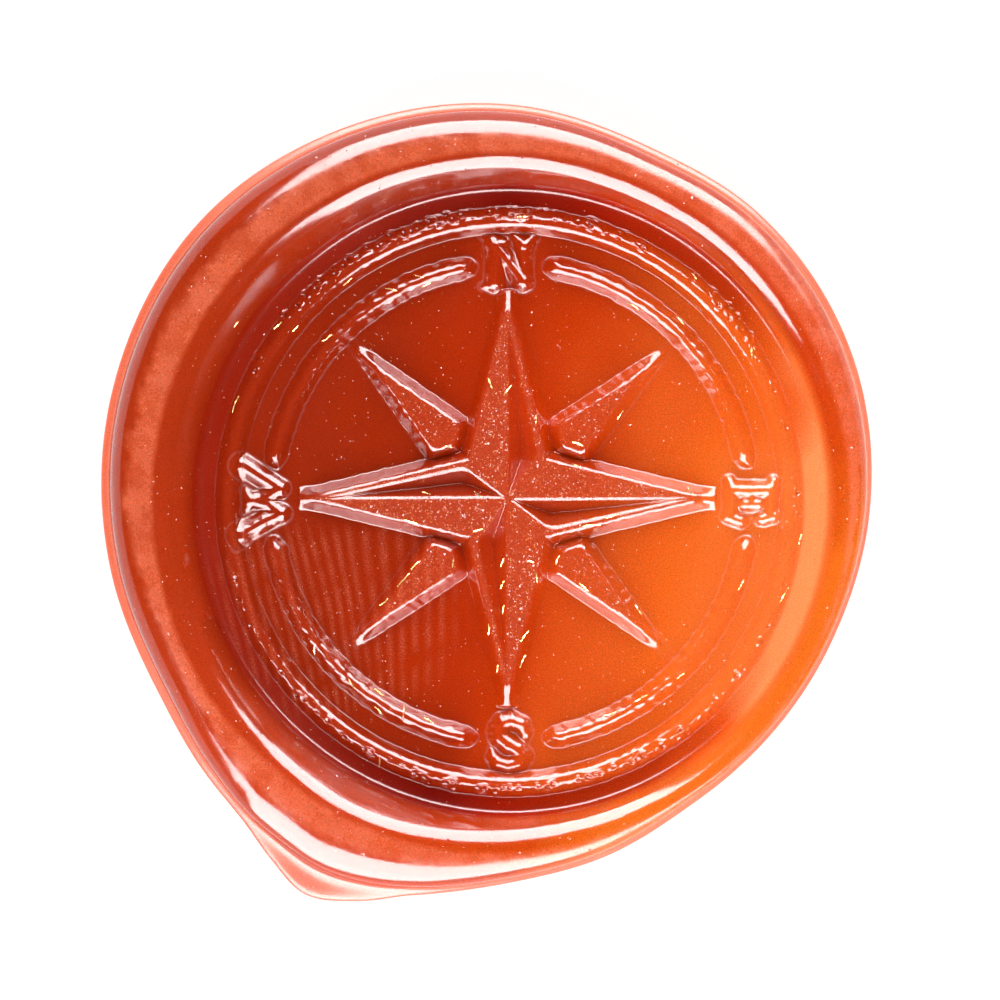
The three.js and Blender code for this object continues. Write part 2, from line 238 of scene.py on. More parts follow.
# Letter strokes, in each letter's own frame with its top up: points of a path, each with the half
# width of the cut there. The cut is deeper where it is wider, as a tapered cutter leaves it.
LETTERS = {
    "N": (
        ((-0.58, 0.62, 0.5), (-0.58, -0.86, 0.52)),
        ((-0.62, 0.62, 0.52), (-0.1, -0.02, 0.5), (0.52, -0.86, 0.54), (0.6, -1.0, 0.4)),
        ((0.58, 0.6, 0.46), (0.58, -0.8, 0.46)),
        ((-1.18, 1.0, 0.26), (-0.72, 0.84, 0.42), (-0.3, 0.66, 0.42)),
        ((-1.12, -1.06, 0.28), (-0.58, -0.94, 0.5), (-0.28, -1.02, 0.32)),
        ((0.22, 0.92, 0.36), (0.58, 0.62, 0.5), (0.94, 0.92, 0.36)),
    ),
    "E": (
        ((-0.8, -0.86, 0.36), (-0.45, -0.7, 0.48), (-0.42, 0.0, 0.48), (-0.45, 0.8, 0.48),
         (-0.8, 0.95, 0.36)),
        ((-0.42, 0.84, 0.46), (0.5, 0.8, 0.4)),
        ((-0.42, -0.74, 0.46), (0.5, -0.78, 0.4)),
        ((0.72, 0.45, 0.4), (0.6, 0.95, 0.4)),
        ((0.8, -0.42, 0.4), (0.62, -0.9, 0.4)),
        ((-0.42, 0.03, 0.44), (0.1, 0.03, 0.4)),
        ((0.12, -0.26, 0.42), (0.12, 0.32, 0.42)),
    ),
    "S": (
        ((0.64, 0.05, 0.28), (0.63, 0.38, 0.36), (0.45, 0.7, 0.45), (0.05, 0.84, 0.5),
         (-0.3, 0.76, 0.5), (-0.48, 0.48, 0.5), (-0.4, 0.15, 0.52), (-0.05, -0.13, 0.54),
         (0.32, -0.32, 0.52), (0.5, -0.56, 0.5), (0.32, -0.86, 0.5), (-0.05, -0.96, 0.5),
         (-0.44, -0.86, 0.46), (-0.66, -0.62, 0.38), (-0.72, -0.38, 0.28)),
    ),
    "W": (
        ((1.5, 1.12, 0.55), (0.5, -0.42, 0.52), (0.16, 0.16, 0.46), (0.03, 0.7, 0.44),
         (-0.1, 0.1, 0.46), (-0.5, -0.47, 0.52), (-0.83, 0.24, 0.52), (-1.3, 1.1, 0.55)),
        ((1.2, 1.1, 0.45), (1.42, 1.15, 0.56), (2.1, 1.28, 0.12)),
        ((-1.1, 1.08, 0.45), (-1.38, 1.2, 0.62), (-2.3, 1.5, 0.1)),
        ((-0.44, 1.0, 0.3), (0.03, 0.76, 0.44), (0.5, 1.0, 0.3)),
    ),
}
LETTER_TURN = {"N": 0, "E": -90, "S": 180, "W": 90}
UPRIGHT_LETTERS = ("S",)

# ---- small shaping functions --------------------------------------------------------------------


def smooth_min(a, b, blend):
    reach = np.maximum(blend - np.abs(a - b), 0) / blend
    return np.minimum(a, b) - reach**2 * blend / 4


def smooth_max(a, b, blend):
    return -smooth_min(-a, -b, blend)


def ease(low, high, value):
    t = np.clip((value - low) / (high - low), 0, 1)
    return t * t * (3 - 2 * t)


def waves(x, y, wavelength, seed):
    """Smooth uneven relief of about that wavelength, from -1 to 1."""
    random = np.random.default_rng(seed)
    total = np.zeros_like(x)
    count = 9
    for _ in range(count):
        heading, phase = random.uniform(0, TAU, 2)
        length = wavelength * random.uniform(0.7, 1.5)
        total += np.sin(TAU * (x * math.cos(heading) + y * math.sin(heading)) / length + phase)
    return total / math.sqrt(count) / 1.6


def turned(x, y, angle):
    """The coordinates as seen from a frame that is turned by angle."""
    c, s = math.cos(angle), math.sin(angle)
    return x * c + y * s, y * c - x * s


def past_line(x, y, start, end):
    """Signed distance from a line, positive on the right of start to end."""
    (ax, ay), (bx, by) = start, end
    length = math.hypot(bx - ax, by - ay)
    return ((x - ax) * (by - ay) - (y - ay) * (bx - ax)) / length


def rounded_top(share, crest_blend=0.45):
    """A flat-topped relief's share of its full height, from a share that goes on rising inside it."""
    return smooth_min(share, 1, crest_blend)


def grounded(share, foot_blend=0.03):
    return smooth_max(share, 0, foot_blend)


# ---- the impression -----------------------------------------------------------------------------


def ring_distance(x, y):
    return np.abs(np.hypot(x, y) - OUTER_RING_RADIUS) - OUTER_RING_TOP / 2


def quarter_arc_share(x, y, wobble):
    """Round-ended arcs whose ends slope down more gently than their sides."""
    x, y = np.abs(x), np.abs(y)
    start = math.asin(QUARTER_ARC_GAP / QUARTER_ARC_RADIUS)
    past_end = np.abs(np.arctan2(y, x) - math.pi / 4) - (math.pi / 4 - start)
    beyond = 0.66 * np.maximum(past_end, 0) * QUARTER_ARC_RADIUS
    away = np.hypot(beyond, np.hypot(x, y) - QUARTER_ARC_RADIUS)
    return rounded_top(1 - (away - QUARTER_ARC_TOP / 2 + wobble) / RING_SPREAD)


def star_share(x, y, wobble):
    """The main points: the share of the star's height, and the distance outside the flat top."""
    x, y = np.abs(x), np.abs(y)
    x, y = np.maximum(x, y), np.hypot(np.minimum(x, y), STAR_RIDGE_ROUND)
    parallel = smooth_min(x, STAR_PARALLEL, 0.6)
    edge = wobble - past_line(parallel, y, (STAR_NOTCH, STAR_NOTCH), (STAR_TIP, 0))
    begins, ends = STAR_FALL
    ridge = 1 - STAR_FALL_SHARE * smooth_max(x - begins, 0, 0.15) / (ends - begins)
    ridge *= ease(ends + STAR_BLUNT_END, ends, x)
    return rounded_top(1 - edge / STAR_SPREAD, 0.3) * ridge, edge


def kite_share(x, y, wobble):
    """The four small points between them, each at its own azimuth."""
    share, edge = np.full_like(x, -9.0), np.full_like(x, 9.0)
    for azimuth in KITE_AZIMUTHS:
        u, v = turned(x, y, math.radians(azimuth))
        v = np.hypot(v, KITE_RIDGE_ROUND)
        a, b, c = KITE_OUTLINE
        out = wobble + smooth_max(-past_line(u, v, a, b), -past_line(u, v, b, c), 0.25)
        share = np.maximum(share, rounded_top(1 - out / KITE_SPREAD, 0.3) * ease(*KITE_FALL[::-1], u))
        edge = np.minimum(edge, out)
    return share, edge


def pit_depth(x, y):
    """The sunk half of each main arm: a steep wall along the ridge, and two sides that slope to it."""
    total = np.zeros_like(x)
    edges = list(zip(PIT_RIM, PIT_RIM[1:] + PIT_RIM[:1]))
    for quarter in range(4):
        u, v = turned(x, y, quarter * math.pi / 2)
        sides = []
        for a, b in edges:
            inward = past_line(u, v, a, b) / past_line(*PIT_APEX, a, b)
            sides.append(PIT_DEPTH * inward)
        wall, *slopes = sides
        total += smooth_max(smooth_min(wall, smooth_min(*slopes, 0.3), 0.03), 0, 0.13)
    return total


def tapered_cut(u, v, start, end, ridge_round):
    """How far inside a tapering stroke each point is, with its ridge line rounded off."""
    (ax, ay, aw), (bx, by, bw) = start, end
    dx, dy = bx - ax, by - ay
    t = np.clip(((u - ax) * dx + (v - ay) * dy) / (dx * dx + dy * dy), 0, 1)
    away = np.sqrt((u - ax - t * dx) ** 2 + (v - ay - t * dy) ** 2 + ridge_round**2)
    return aw + t * (bw - aw) - away


def letter_height(x, y):
    """The four cardinal letters, each with its top towards the rim: their height, and how far in."""
    height, depth_in = np.zeros_like(x), np.full_like(x, -1.0)
    for name, strokes in LETTERS.items():
        turn = math.radians(LETTER_TURN[name])
        middle = (-LETTER_CENTRE * math.sin(turn), LETTER_CENTRE * math.cos(turn))
        near = np.hypot(x - middle[0], y - middle[1]) < 3
        u, v = turned(x[near] - middle[0], y[near] - middle[1], 0 if name in UPRIGHT_LETTERS else turn)
        inside = np.full_like(u, -1.0)
        for path in strokes:
            for a, b in zip(path[:-1], path[1:]):
                inside = smooth_max(inside, tapered_cut(u, v, a, b, LETTER_ROUND[name]), 0.05)
        cut = smooth_min(LETTER_SLOPE * inside, LETTER_HEIGHT, 0.1)
        height[near] = np.maximum(height[near], smooth_max(cut, 0, 0.02))
        depth_in[near] = np.maximum(depth_in[near], inside)
    return height, depth_in


def nicks(x, y):
    """Burst bubbles along the worn outer edge of the continuous ring: small pits with raised rims."""
    random = np.random.default_rng(11)
    change = np.zeros_like(x)
    radius = np.hypot(x, y)
    edge = (radius > 11.2) & (radius < 12.2)
    ex, ey = x[edge], y[edge]
    found = np.zeros_like(ex)
    for _ in range(NICK_COUNT):
        angle = math.radians(random.choice(NICK_CROWDS) + random.normal(0, NICK_SCATTER))
        where = OUTER_RING_RADIUS + random.uniform(*NICK_RADII)
        size = random.uniform(*NICK_SIZES)
        away = np.hypot(ex - where * math.cos(angle), ey - where * math.sin(angle)) / size
        found += 0.55 * size * (1.1 * np.exp(-(((away - 1.2) / 0.55) ** 2)) - 1.3 * np.exp(-(away**2)))
    change[edge] = np.clip(found, -0.12, 0.11)
    return change


def ripples(x, y):
    """Faint cooling ripples in the lower left, from 0 in their troughs to 1 on their crests."""
    inside = ease(6.0, 4.0, np.hypot(x + 7.2, 1.1 * (y + 4.2))) * ease(-0.6, -1.6, y)
    lean = 0.24 * ease(-3.5, -8.0, x)
    along = x + 12 + lean * (y + 4.2) + 0.04 * waves(x, y, 3.0, 8)
    along = np.where(along < 6, along, 6 + (along - 6) * 0.82)
    broken = np.clip(0.75 + 0.6 * waves(x, y, 1.3, 9), 0, 1)
    return inside * broken * (0.5 + 0.5 * np.sin(TAU * along / 0.45)) ** 1.5


def impression(x, y):
    """The height above the recess floor, how rough the die milled each point, and how dull it is."""
    wobble = 0.014 * waves(x, y, 0.9, 1) + 0.011 * waves(x, y, 0.35, 2)
    rx, ry = x - RING_MIDDLE[0], y - RING_MIDDLE[1]
    sx, sy = x - STAR_CENTRE[0], y - STAR_CENTRE[1]
    ring = rounded_top(1 - (ring_distance(rx, ry) + wobble) / RING_SPREAD)
    arcs = quarter_arc_share(rx, ry, wobble + 0.03 * waves(x, y, 0.5, 12))
    points, star_edge = star_share(sx, sy, wobble)
    kites, kite_edge = kite_share(sx, sy, wobble)
    pits = pit_depth(sx, sy)
    height = RING_HEIGHT * grounded(np.maximum(ring, arcs))
    letters, in_letter = letter_height(x + wobble, y - wobble)
    height = smooth_max(height, letters, 0.05)
    height = smooth_max(height, STAR_HEIGHT * grounded(points) - pits, 0.02)
    height = smooth_max(height, STAR_HEIGHT * grounded(kites), 0.02)
    height += nicks(x, y)
    height += 0.005 * ripples(x, y) + 0.004 * waves(x, y, 2.6, 3)
    milled = np.maximum(ease(*MILLED_EDGE, star_edge), 0.55 * ease(*MILLED_EDGE, kite_edge))
    milled *= ease(0.1, 0.02, pits)
    dull = np.maximum.reduce([
        dullness * ease(*FOOT_BEGINS, share) * ease(*FOOT_ENDS, share)
        for dullness, share in (
            (RING_DULLNESS, ring),
            (ARC_DULLNESS, arcs),
            (LETTER_DULLNESS, 3 * in_letter),
            (KITE_DULLNESS, 1 - kite_edge / KITE_SPREAD),
        )
    ])
    dull = np.maximum(dull, PIT_DULLNESS * ease(0.12, 0.3, pits))
    return height, milled, np.maximum(dull, WALL_DULLNESS * ease(*WALL_FROM, np.hypot(x, y)))


# ---- the wax body -------------------------------------------------------------------------------


def outline_radius(angle, column):
    """One column of the outline at any angle, as a smooth closed curve through its points."""
    lapped = np.vstack([OUTLINE[-2:] - (360, 0, 0), OUTLINE, OUTLINE[:3] + (360, 0, 0)])
    at, radius = lapped[:, 0], lapped[:, column]
    i = np.searchsorted(at, angle, side="right") - 1
    span = at[i + 1] - at[i]
    t = (angle - at[i]) / span
    slope_here = (radius[i + 1] - radius[i - 1]) / (at[i + 1] - at[i - 1]) * span
    slope_next = (radius[i + 2] - radius[i]) / (at[i + 2] - at[i]) * span
    return (
        (2 * t**3 - 3 * t**2 + 1) * radius[i]
        + (t**3 - 2 * t**2 + t) * slope_here
        + (3 * t**2 - 2 * t**3) * radius[i + 1]
        + (t**3 - t**2) * slope_next
    )


def bead_section(angle):
    """Rings of (radius, height, how thin the wax is) from the recess wall over the bead to the back."""
    rim = outline_radius(angle, 1)
    edge = outline_radius(angle, 2)
    width = edge - DIE_RADIUS
    crest = DIE_RADIUS + BEAD_CREST_OUT + BEAD_CREST_PER_WIDTH * width
    top = FLOOR_HEIGHT + BEAD_RISE + BEAD_RISE_PER_WIDTH * width
    skirt = rim - edge
    rings = []

    # the wall against the die, up to the thin lip that its edge left
    for share, rise in ((0.3, 0.04), (0.52, 0.12), (0.7, 0.22), (0.86, 0.32), (0.95, 0.39), (1, LIP_HEIGHT)):
        rings.append((DIE_RADIUS + share * (LIP_RADIUS - DIE_RADIUS), FLOOR_HEIGHT + rise, 0))
    # a straight slope, then a round shoulder up to the crest
    lip_height = FLOOR_HEIGHT + LIP_HEIGHT
    sine, cosine = math.sin(BEAD_SHOULDER_TURN), math.cos(BEAD_SHOULDER_TURN)
    inner = np.minimum(BEAD_INNER_ROUND, 0.75 * (crest - LIP_RADIUS) / sine)
    slope_end = crest - inner * sine
    slope_top = top - inner * (1 - cosine)
    for share in (0.06, 0.2, 0.4, 0.6, 0.8, 1):
        rings.append((
            LIP_RADIUS + share * (slope_end - LIP_RADIUS), lip_height + share * (slope_top - lip_height), 0,
        ))
    for turn in np.radians(np.arange(42, -1, -3)):
        rings.append((crest - inner * math.sin(turn), top - inner * (1 - math.cos(turn)), 0))
    # the nearly level top, the outer shoulder, and the steep edge that it turns down into
    reach = edge - crest
    last = np.minimum(np.interp(angle, SHOULDER[:, 0], SHOULDER[:, 2]), 0.45 * reach)
    outer = np.minimum(np.interp(angle, SHOULDER[:, 0], SHOULDER[:, 1]), 0.93 * (reach - last) / sine)
    start = edge - last - sine * outer
    for share in (0.3, 0.65, 1):
        rings.append((crest + share * (start - crest), top, 0))
    for turn in np.radians(np.arange(3, 46, 3)):
        rings.append((start + outer * math.sin(turn), top - outer * (1 - math.cos(turn)), 0))
    corner = last / (1 - sine)
    shoulder_end = top - outer * (1 - sine)
    for turn in np.radians(np.arange(50, 91, 5)):
        rings.append((
            edge - corner * (1 - math.sin(turn)), shoulder_end - corner * (sine - math.cos(turn)), 0,
        ))

    # the upright side, then the thin skirt over the paper
    for share, height, thin in (
        (0.01, 1.5, 0), (0.02, 1.2, 0), (0.05, 0.95, 0), (0.08, 0.78, 0.1), (0.13, 0.64, 0.35),
        (0.2, 0.54, 0.7), (0.3, 0.47, 1), (0.45, 0.41, 1), (0.62, 0.36, 1), (0.8, 0.31, 1),
        (0.92, 0.26, 1), (0.98, 0.19, 1), (1.0, 0.11, 1), (0.99, 0.04, 1),
    ):
        rings.append((edge + share * skirt, height, thin))
    for share in (0.985, 0.95, 0.9, 0.8, 0.65, 0.5, 0.35, 0.2, 0.08):
        rings.append((rim * share, 0, 0))
    return rings


def frost_band(x, y):
    """The dull band where the wax met the rim of the stamp, sharp inside and fading outwards."""
    around = np.degrees(np.arctan2(y, x)) % 360
    start = np.interp(around, FROST[:, 0], FROST[:, 1])
    reach = np.interp(around, FROST[:, 0], FROST[:, 2])
    outside = np.hypot(x, y) - start
    ragged = 0.03 * waves(x, y, 1.6, 6) + 0.02 * waves(x, y, 0.4, 7)
    return ease(-0.05, 0.25, outside + ragged) * ease(1.15, 0.75, outside / reach + 4 * ragged)


def ring_faces(rows, columns):
    """Quads between each ring and the next, then a fan that closes the face and one that closes the back."""
    here = np.arange(columns)
    after = (here + 1) % columns
    last = (rows - 1) * columns
    face_middle, back_middle = rows * columns, rows * columns + 1
    strips = []
    for start in range(0, last, columns):
        beyond = start + columns
        strips.append(np.column_stack([start + here, beyond + here, beyond + after, start + after]))
    faces = np.vstack(strips).tolist()
    faces += [(face_middle, int(i), int(j)) for i, j in zip(here, after)]
    faces += [(back_middle, int(last + j), int(last + i)) for i, j in zip(here, after)]
    return faces


def wax_body():
    """The wax as rings of points, each point marked with how frosted, thin, grainy and dull it is."""
    angle = np.arange(WAX_COLUMNS) * 360 / WAX_COLUMNS
    cos, sin = np.cos(np.radians(angle)), np.sin(np.radians(angle))
    x = (FACE_RADII[:, None] * cos).ravel()
    y = (FACE_RADII[:, None] * sin).ravel()
    height, milled, dull = impression(x, y)
    places = [np.column_stack([x, y, FLOOR_HEIGHT + height])]
    marks = {
        "frost": [np.zeros_like(x)],
        "thin": [np.zeros_like(x)],
        "grain": [milled],
        "dull": [dull],
        "ripple": [ripples(x, y)],
    }

    bead_width = outline_radius(angle, 2) - DIE_RADIUS
    for radius, level, skirt in bead_section(angle):
        bx, by = radius * cos, radius * sin
        on_bead = level > BEAD_TOP_FROM
        on_top = ease(0.15, 0.4, (radius - DIE_RADIUS) / bead_width) * on_bead
        uneven = 0.03 * waves(bx, by, 5.5, 4) + 0.01 * waves(bx, by, 2.2, 5)
        places.append(np.column_stack([bx, by, level + on_top * uneven]))
        marks["frost"].append(frost_band(bx, by) * on_bead)
        marks["thin"].append(np.full(WAX_COLUMNS, float(skirt)))
        marks["grain"].append(np.zeros(WAX_COLUMNS))
        marks["dull"].append(np.full(WAX_COLUMNS, WALL_DULLNESS * np.all(radius < WALL_TO)))
        marks["ripple"].append(0.6 * ripples(bx, by) * on_top)

    rings = np.vstack(places)
    face_height = FLOOR_HEIGHT + impression(np.zeros(1), np.zeros(1))[0][0]
    points = np.vstack([rings, (0, 0, face_height), (0, 0, 0)])
    mesh = bpy.data.meshes.new("sealing_wax")
    mesh.from_pydata((points * MM).tolist(), [], ring_faces(len(rings) // WAX_COLUMNS, WAX_COLUMNS))
    mesh.update()
    mesh.shade_smooth()
    for name, parts in marks.items():
        values = np.append(np.concatenate(parts), (0, 0))
        layer = mesh.attributes.new(name, "FLOAT", "POINT")
        layer.data.foreach_set("value", values.astype(np.float32))
    body = bpy.data.objects.new("sealing_wax", mesh)
    scene.collection.objects.link(body)
    return body


# ---- the slivers of metal leaf ------------------------------------------------------------------


def drop_to_wax(tree, x, y):
    above = Vector((x, y, wax_top + 10 * MM))
    place, normal, _, _ = tree.ray_cast(above, Vector((0, 0, -1)))
    return place, normal


def leaf_sliver(name, centre, heading, length, width, tree, random):
    """A creased blade of leaf with pointed ends, lying on the wax."""
    sections = 9
    jitter, tip_half_width, lift, keel = 0.006 * MM, 0.004 * MM, 0.01 * MM, 0.02 * MM
    across = Vector((-heading.y, heading.x, 0))
    bow = random.uniform(-0.06, 0.06) * length
    points = []
    for k in range(sections + 1):
        t = 2 * k / sections - 1
        middle = centre + heading * (t * length / 2) + across * (bow * (1 - t * t))
        middle += across * float(random.normal(0, jitter))
        place, normal = drop_to_wax(tree, middle.x, middle.y)
        side = normal.cross(heading).normalized()
        half = width / 2 * (1 - abs(t) ** 2.5) ** 0.6 + tip_half_width
        skin = place + normal * lift
        crease = random.uniform(-0.35, 0.35) * half
        tilt = random.uniform(-0.25, 0.25) * half
        points.append(skin + side * half + normal * tilt)
        points.append(skin + side * crease + normal * random.uniform(0.012, 0.045) * MM)
        points.append(skin - side * half - normal * tilt)
        points.append(place - normal * keel)
    faces = [(0, 1, 2, 3)]
    for k in range(sections):
        a, b = 4 * k, 4 * k + 4
        faces += [(a + i, b + i, b + (i + 1) % 4, a + (i + 1) % 4) for i in range(4)]
    end = 4 * sections
    faces.append((end + 3, end + 2, end + 1, end))
    mesh = bpy.data.meshes.new(name)
    mesh.from_pydata(points, [], faces)
    mesh.update()
    blade = bpy.data.objects.new(name, mesh)
    scene.collection.objects.link(blade)
    return blade


def lie_of(node):
    """A CAD sliver's middle, heading and length, from its own mesh."""
    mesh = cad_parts[node].data
    points = np.empty(len(mesh.vertices) * 3)
    mesh.vertices.foreach_get("co", points)
    points = points.reshape(-1, 3)
    middle = points.mean(0)
    _, _, axes = np.linalg.svd(points - middle)
    spread = (points - middle) @ axes[0]
    heading = Vector((axes[0][0], axes[0][1], 0)).normalized()
    return Vector(middle), heading, float(spread.max() - spread.min())


# ---- materials ----------------------------------------------------------------------------------


class Recipe:
    """A material's node tree, with short ways to add to it."""

    def __init__(self, name):
        self.material = bpy.data.materials.new(name)
        self.material.use_nodes = True
        self.tree = self.material.node_tree
        self.shader = self.tree.nodes["Principled BSDF"]
        self.place = self.add("ShaderNodeTexCoord").outputs["Object"]

    def add(self, kind, inputs=None, **settings):
        node = self.tree.nodes.new(kind)
        for key, value in settings.items():
            setattr(node, key, value)
        for key, value in (inputs or {}).items():
            self.give(node.inputs[key], value)
        return node

    def give(self, socket, value):
        if isinstance(value, bpy.types.NodeSocket):
            self.tree.links.new(value, socket)
        else:
            socket.default_value = value

    def set(self, **values):
        for key, value in values.items():
            self.give(self.shader.inputs[key.replace("_", " ")], value)

    def math(self, operation, a, b=0.0):
        return self.add("ShaderNodeMath", {0: a, 1: b}, operation=operation).outputs[0]

    def times(self, a, b):
        return self.math("MULTIPLY", a, b)

    def vector(self, operation, a, b=None):
        """One step of vector arithmetic. A dot product and a length come out as numbers."""
        inputs = {0: a}
        if b is not None:
            inputs["Scale" if operation == "SCALE" else 1] = b
        node = self.add("ShaderNodeVectorMath", inputs, operation=operation)
        return node.outputs["Value" if operation in ("DOT_PRODUCT", "LENGTH") else "Vector"]

    def remap(self, value, low, high, to_low=0.0, to_high=1.0):
        inputs = {"Value": value, "From Min": low, "From Max": high, "To Min": to_low, "To Max": to_high}
        return self.add("ShaderNodeMapRange", inputs, clamp=True).outputs["Result"]

    def noise(self, size_mm, detail=2.0, place=None):
        inputs = {"Vector": place or self.place, "Scale": 1 / (size_mm * MM), "Detail": detail}
        return self.add("ShaderNodeTexNoise", inputs).outputs["Fac"]

    def cells(self, size_mm):
        inputs = {"Vector": self.place, "Scale": 1 / (size_mm * MM)}
        return self.add("ShaderNodeTexVoronoi", inputs)

    def blend(self, factor, a, b):
        node = self.add("ShaderNodeMix", data_type="RGBA")
        self.give(node.inputs[0], factor)
        self.give(node.inputs[6], a)
        self.give(node.inputs[7], b)
        return node.outputs[2]

    def ramp(self, value, stops):
        node = self.add("ShaderNodeValToRGB", {"Fac": value})
        ramp = node.color_ramp
        while len(ramp.elements) < len(stops):
            ramp.elements.new(0.5)
        for element, (where, colour) in zip(ramp.elements, stops):
            element.position = where
            element.color = (*colour, 1)
        return node.outputs["Color"]

    def attribute(self, name):
        return self.add("ShaderNodeAttribute", attribute_name=name).outputs["Fac"]

    def specks(self, size_mm, radius_share, kept_share):
        """Small round specks in some of the cells of a pattern."""
        cells = self.cells(size_mm)
        dot = self.remap(cells.outputs["Distance"], radius_share, radius_share * 0.4)
        chance = self.add("ShaderNodeSeparateColor", {"Color": cells.outputs["Color"]}).outputs["Red"]
        return self.times(dot, self.math("LESS_THAN", chance, kept_share))

    def flaked(self, normal, size_mm, kept_share, tilt):
        """The normal, turned by a random amount over some of the cells of a pattern."""
        cells = self.cells(size_mm)
        chance = self.add("ShaderNodeSeparateColor", {"Color": cells.outputs["Color"]}).outputs["Blue"]
        amount = self.times(self.math("LESS_THAN", chance, kept_share), tilt)
        centred = self.vector("SUBTRACT", cells.outputs["Color"], (0.5, 0.5, 0.5))
        turn = self.vector("SCALE", self.vector("MULTIPLY", centred, (1, 1, 0)), amount)
        return self.vector("NORMALIZE", self.vector("ADD", normal, turn))


# The pour is darker on the left and brighter towards the right: a direction, and
# colours at shares of the way along it, for the recess floor, the bead and the moat between them.
# The moat's colours hold painted shade: mostly darker than the floor beside them, most at the top,
# next to the bead wall.
SHALLOW_WAX = ((0.97, -0.22, 0), (
    (0.0, (0.30, 0.019, 0.0025)),
    (0.24, (0.33, 0.021, 0.0025)),
    (0.35, (0.38, 0.023, 0.0015)),
    (0.45, (0.425, 0.026, 0.0014)),
    (0.565, (0.53, 0.04, 0.0014)),
    (0.69, (0.69, 0.095, 0.01)),
    (0.79, (0.79, 0.125, 0.01)),
    (0.95, (0.84, 0.19, 0.04)),
))
DEEP_WAX = ((0.8, -0.6, 0), (
    (0.07, (0.39, 0.03, 0.004)),
    (0.43, (0.52, 0.046, 0.008)),
    (0.70, (0.56, 0.046, 0.003)),
    (0.86, (0.60, 0.062, 0.003)),
    (0.95, (0.80, 0.15, 0.01)),
))
# Painted shade: the moat by the bead wall is mostly darker than the floor, most at the top.
MOAT_SHADED_WAX = ((0.98, -0.17, 0), (
    (0.07, (0.31, 0.014, 0.002)),
    (0.25, (0.38, 0.024, 0.01)),
    (0.42, (0.31, 0.006, 0.001)),
    (0.58, (0.54, 0.019, 0.001)),
    (0.78, (0.60, 0.05, 0.002)),
    (0.85, (0.82, 0.118, 0.01)),
    (0.92, (0.94, 0.31, 0.10)),
))
POUR_REACH, SWIRL_REACH = 14 * MM, 1.2 * MM
MOAT_INNER, MOAT_OUTER = (11.8 * MM, 12.05 * MM), (12.95 * MM, 12.75 * MM)
BEAD_BEGINS, BEAD_FULL = 2.0 * MM, 2.6 * MM

MILLED_WAX = (0.5, 0.075, 0.03, 1)
# Painted glow: the light of the paper beneath, seen through the thin skirt.
THIN_WAX_GLOW = (0.9, 0.175, 0.08, 1)
# The frosted band's colour: real frosting, with painted sheen that makes it lighter.
FROSTED_WAX_SHEEN = (0.88, 0.17, 0.055, 1)
# The ripple crests are painted lighter than their troughs.
RIPPLE_CREST_COLOUR = (0.8, 0.2, 0.1, 1)
# Real flecks of mica, with their glints painted into their colour.
MICA_GLINT = (1, 0.62, 0.38, 1)
MICA_DUST_GLINT = (1, 0.42, 0.18, 1)


def wax_colour(wax, frost, thin, grain, ripple):
    """The poured colour by place, with the die's milling, the frosted band the stamp's rim left and lighter
    ripple crests, and painted light: shade in the moat, glow in the thin skirt, sheen on the frosted band.
    """
    swirl = wax.remap(wax.noise(5.0, 1.5), 0.3, 0.7, -SWIRL_REACH, SWIRL_REACH)

    def poured(direction, stops):
        towards = wax.vector("DOT_PRODUCT", wax.place, direction)
        return wax.ramp(wax.remap(wax.math("ADD", towards, swirl), -POUR_REACH, POUR_REACH), stops)

    radius = wax.vector("LENGTH", wax.vector("MULTIPLY", wax.place, (1, 1, 0)))
    # The ring of the moat, where its painted shade is laid.
    moat_shade = wax.times(wax.remap(radius, *MOAT_INNER), wax.remap(radius, *MOAT_OUTER))
    level = wax.add("ShaderNodeSeparateXYZ", {"Vector": wax.place}).outputs["Z"]
    on_bead = wax.remap(level, BEAD_BEGINS, BEAD_FULL)
    body = wax.blend(on_bead, poured(*SHALLOW_WAX), poured(*DEEP_WAX))
    for share, colour in (
        (wax.times(grain, 0.4), MILLED_WAX),
        # painted shade in the moat
        (moat_shade, poured(*MOAT_SHADED_WAX)),
        # painted glow of the paper through the thin skirt
        (wax.times(thin, 0.85), THIN_WAX_GLOW),
        # the frosted band, lightened by painted sheen
        (wax.times(frost, 0.55), FROSTED_WAX_SHEEN),
        # ripple crests painted lighter
        (wax.times(ripple, 0.28), RIPPLE_CREST_COLOUR),
    ):
        body = wax.blend(share, body, colour)
    return body


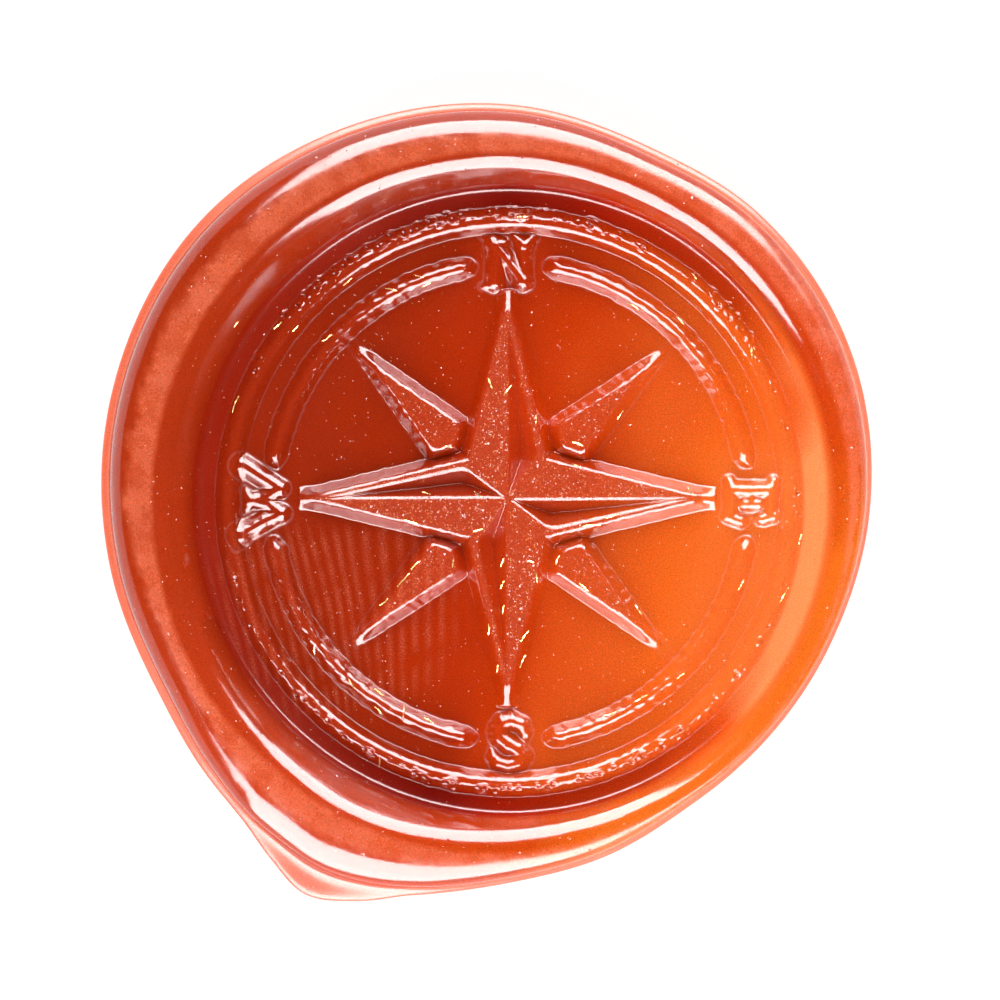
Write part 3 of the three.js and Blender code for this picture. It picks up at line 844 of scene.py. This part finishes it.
def wax_material():
    wax = Recipe("sealing_wax")
    fine = wax.noise(0.06, 2)
    patchy = wax.remap(wax.noise(0.3, 3), 0.36, 0.58)
    finely_mottled = wax.remap(wax.noise(0.09, 3), 0.25, 0.6, 0.6, 1)
    mottled = wax.times(finely_mottled, wax.remap(wax.noise(0.9, 3), 0.3, 0.6, 0.55, 1))
    frost = wax.times(wax.attribute("frost"), mottled)
    thin, grain, dull = (wax.attribute(mark) for mark in ("thin", "grain", "dull"))
    ripple = wax.times(wax.attribute("ripple"), wax.remap(fine, 0.3, 0.6))

    body = wax_colour(wax, frost, thin, grain, ripple)
    body = wax.vector("SCALE", body, wax.remap(fine, 0.3, 0.7, 0.76, 1.18))
    # Mica and dust specks: real flecks, with painted glints in their bright colour.
    mica_and_glint = wax.math("MAXIMUM", wax.specks(0.45, 0.075, 0.5), wax.specks(0.25, 0.09, 0.4))
    dust_and_glint = wax.math("MAXIMUM", wax.specks(0.12, 0.32, 0.5), wax.specks(0.08, 0.35, 0.4))
    dust_and_glint = wax.times(wax.times(dust_and_glint, grain), patchy)
    body = wax.blend(wax.times(mica_and_glint, 0.6), body, MICA_GLINT)
    body = wax.blend(wax.times(dust_and_glint, 0.75), body, MICA_DUST_GLINT)

    uneven = wax.remap(wax.noise(1.4, 3), 0.35, 0.65, 0.0, 0.05)
    roughness = wax.math("ADD", 0.1, uneven)
    for part, change in ((frost, 0.22), (dull, 0.4), (thin, 0.2), (grain, 0.04)):
        roughness = wax.math("ADD", roughness, wax.times(part, change))

    skin = wax.times(wax.noise(0.5, 3), 0.25)
    tooth = wax.times(wax.noise(0.08, 2), wax.math("ADD", 0.08, wax.times(grain, 0.7)))
    relief = wax.math("ADD", skin, tooth)
    relief = wax.math("ADD", relief, wax.times(mica_and_glint, 0.06))
    bump = wax.add("ShaderNodeBump", {"Strength": 0.5, "Distance": 0.03 * MM, "Height": relief})

    # Flakes of mica lie at their own tilts, so some of them catch the light.
    flake_tilt = 1.3
    many = wax.times(wax.times(grain, patchy), 0.09)
    normal = wax.flaked(bump.outputs["Normal"], 0.038, wax.math("ADD", many, 0.004), flake_tilt)
    normal = wax.flaked(normal, 0.075, wax.math("ADD", wax.times(many, 0.25), 0.0015), flake_tilt)

    wax.set(Base_Color=body, Roughness=roughness, Normal=normal)
    wax.set(IOR=1.47, Subsurface_Weight=0.5, Subsurface_Scale=0.6 * MM, Subsurface_Radius=(1.0, 0.35, 0.12))
    return wax.material


def leaf_material():
    leaf = Recipe("gilt_leaf")
    tarnish = leaf.remap(leaf.noise(0.12, 2), 0.35, 0.7)
    colour = leaf.blend(tarnish, (0.93, 0.7, 0.3, 1), (0.55, 0.33, 0.09, 1))
    roughness = leaf.remap(leaf.noise(0.06, 2), 0.3, 0.7, 0.22, 0.5)
    bump = leaf.add("ShaderNodeBump", {"Strength": 0.5, "Distance": 0.01 * MM, "Height": leaf.noise(0.05, 2)})
    leaf.set(Base_Color=colour, Roughness=roughness, Normal=bump.outputs["Normal"], Metallic=1.0)
    return leaf.material


# ---- putting it together ------------------------------------------------------------------------

wax = wax_body()
wax.data.materials.append(wax_material())
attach(wax, "root")
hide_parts("wax_body")

surface = BVHTree.FromPolygons(
    [v.co.copy() for v in wax.data.vertices], [tuple(p.vertices) for p in wax.data.polygons]
)
gilt = leaf_material()
chance = np.random.default_rng(5)
for node in sorted(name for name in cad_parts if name.startswith("gilt_sliver_")):
    middle, heading, length = lie_of(node)
    number = node.rsplit("_", 1)[1]
    blade = leaf_sliver(f"leaf_{number}", middle, heading, length, SLIVER_WIDTH * MM, surface, chance)
    blade.data.materials.append(gilt)
    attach(blade, "root")
    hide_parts(node)
